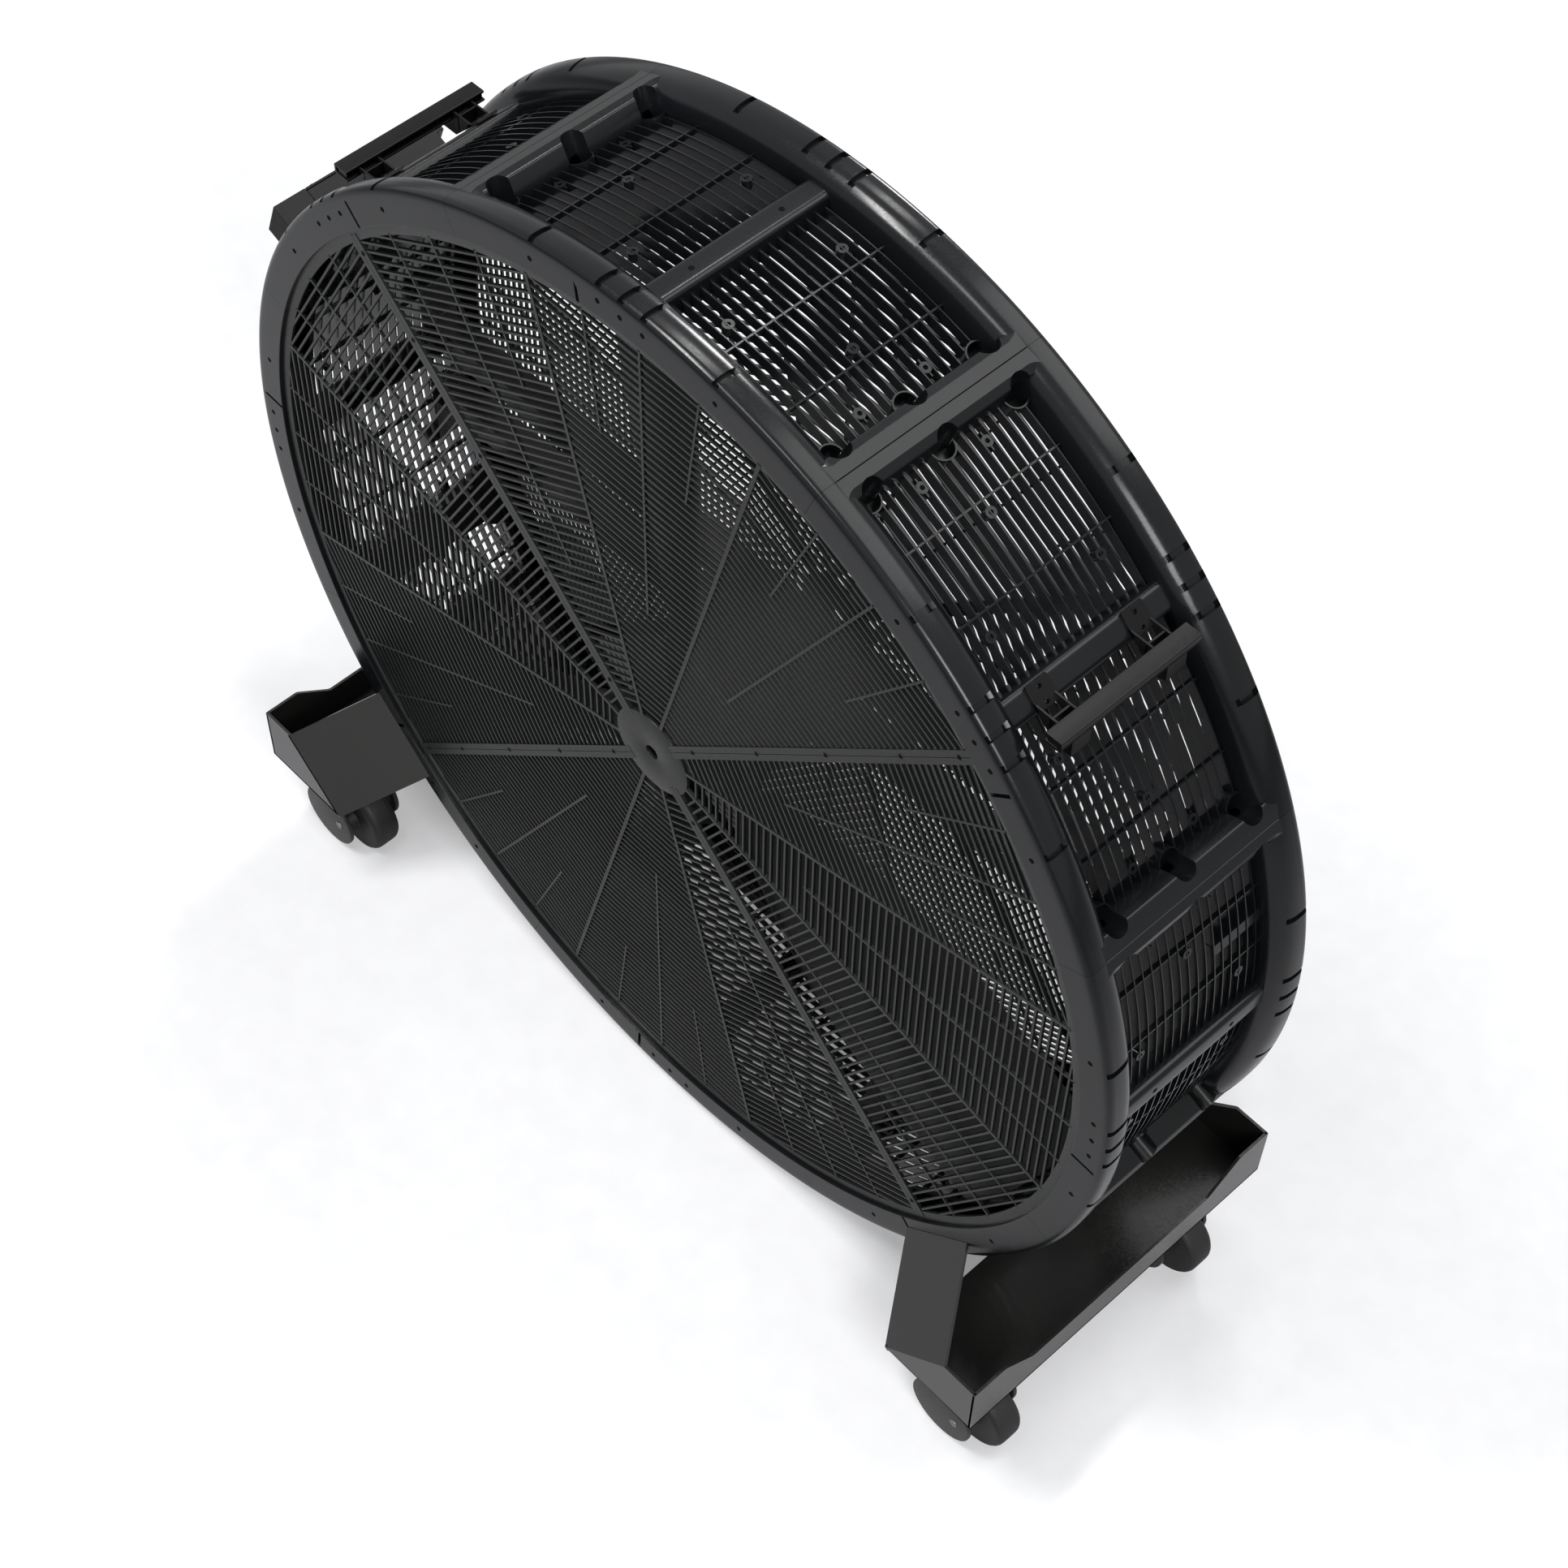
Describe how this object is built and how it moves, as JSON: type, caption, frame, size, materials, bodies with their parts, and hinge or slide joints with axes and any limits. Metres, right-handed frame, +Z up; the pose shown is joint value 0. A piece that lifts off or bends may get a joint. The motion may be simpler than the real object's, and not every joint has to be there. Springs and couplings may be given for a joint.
{
  "type": "drum fan",
  "caption": "Large low-profile drum fan with slotted grilles, lattice drum wall, side handles and a trough stand on swivel casters.",
  "frame": {"origin": "on the floor, under the middle of the outline seen from above", "axes": "the front grille faces -Y, +Z is up, +X is the right-hand side seen from the front"},
  "size_m": [1.1862, 0.421, 1.1807],
  "materials": {
    "housing": "moulded, satin",
    "grille": "moulded, fine grain",
    "blade": "satin coat",
    "steel": "machined",
    "motor": "semi-gloss enamel",
    "stand": "powder coat",
    "trim": "moulded",
    "tread": "worn matt"
  },
  "bodies": {
    "frame": {"housing_panel_0": "housing", "housing_panel_45": "housing", "housing_panel_90": "housing", "housing_panel_135": "housing", "housing_panel_180": "housing", "housing_panel_225": "housing", "housing_panel_270": "housing", "housing_panel_315": "housing", "front_grille_right": "grille", "front_grille_top": "grille", "front_grille_left": "grille", "front_grille_bottom": "grille", "rear_grille_right": "grille", "rear_grille_top": "grille", "rear_grille_left": "grille", "rear_grille_bottom": "grille", "motor_stator": "steel", "bearing_front": "steel", "bearing_rear": "steel", "motor_shell": "motor", "motor_front_bell": "motor", "motor_rear_bell": "motor", "motor_plate": "stand", "support_tube_upper": "stand", "support_tube_lower": "stand", "leg_trough_right": "stand", "leg_trough_left": "stand", "switch_box_body": "stand", "switch_box_lid": "stand", "switch_box_end": "stand", "cable_gland": "trim", "handle_right": "trim", "handle_left": "trim", "caster_plate_front_right": "steel", "caster_plate_rear_right": "steel", "caster_plate_front_left": "steel", "caster_plate_rear_left": "steel"},
    "rotor": {"motor_shaft": "steel", "motor_rotor_core": "steel", "fan_hub": "steel", "hub_cap": "trim", "fan_blade_1": "blade", "fan_blade_2": "blade", "fan_blade_3": "blade"},
    "speed_knob": {"speed_knob": "trim"},
    "swivel_front_right": {"caster_fork_front_right": "trim", "caster_axle_front_right": "steel"},
    "wheel_front_right": {"caster_wheel_front_right": "tread"},
    "swivel_rear_right": {"caster_fork_rear_right": "trim", "caster_axle_rear_right": "steel"},
    "wheel_rear_right": {"caster_wheel_rear_right": "tread"},
    "swivel_front_left": {"caster_fork_front_left": "trim", "caster_axle_front_left": "steel"},
    "wheel_front_left": {"caster_wheel_front_left": "tread"},
    "swivel_rear_left": {"caster_fork_rear_left": "trim", "caster_axle_rear_left": "steel"},
    "wheel_rear_left": {"caster_wheel_rear_left": "tread"}
  },
  "joints": [
    {"name": "rotor_spin", "type": "hinge", "parent": "frame", "child": "rotor", "pos_m": [0.00834, 0, 0.596], "axis": [0, 1, 0], "continuous": true},
    {"name": "speed_knob_turn", "type": "hinge", "parent": "frame", "child": "speed_knob", "pos_m": [-0.57218, 0.1103, 0.81652], "axis": [0, 1, 0], "range_deg": [0, 90]},
    {"name": "swivel_front_right_turn", "type": "hinge", "parent": "frame", "child": "swivel_front_right", "pos_m": [0.50034, -0.159, 0.1], "axis": [0, 0, 1], "continuous": true},
    {"name": "wheel_front_right_roll", "type": "hinge", "parent": "swivel_front_right", "child": "wheel_front_right", "pos_m": [0.52634, -0.159, 0.0475], "axis": [0, 1, 0], "continuous": true},
    {"name": "swivel_rear_right_turn", "type": "hinge", "parent": "frame", "child": "swivel_rear_right", "pos_m": [0.50034, 0.124, 0.1], "axis": [0, 0, 1], "continuous": true},
    {"name": "wheel_rear_right_roll", "type": "hinge", "parent": "swivel_rear_right", "child": "wheel_rear_right", "pos_m": [0.52634, 0.124, 0.0475], "axis": [0, 1, 0], "continuous": true},
    {"name": "swivel_front_left_turn", "type": "hinge", "parent": "frame", "child": "swivel_front_left", "pos_m": [-0.48366, -0.159, 0.1], "axis": [0, 0, 1], "continuous": true},
    {"name": "wheel_front_left_roll", "type": "hinge", "parent": "swivel_front_left", "child": "wheel_front_left", "pos_m": [-0.45766, -0.159, 0.0475], "axis": [0, 1, 0], "continuous": true},
    {"name": "swivel_rear_left_turn", "type": "hinge", "parent": "frame", "child": "swivel_rear_left", "pos_m": [-0.48366, 0.124, 0.1], "axis": [0, 0, 1], "continuous": true},
    {"name": "wheel_rear_left_roll", "type": "hinge", "parent": "swivel_rear_left", "child": "wheel_rear_left", "pos_m": [-0.45766, 0.124, 0.0475], "axis": [0, 1, 0], "continuous": true}
  ]
}
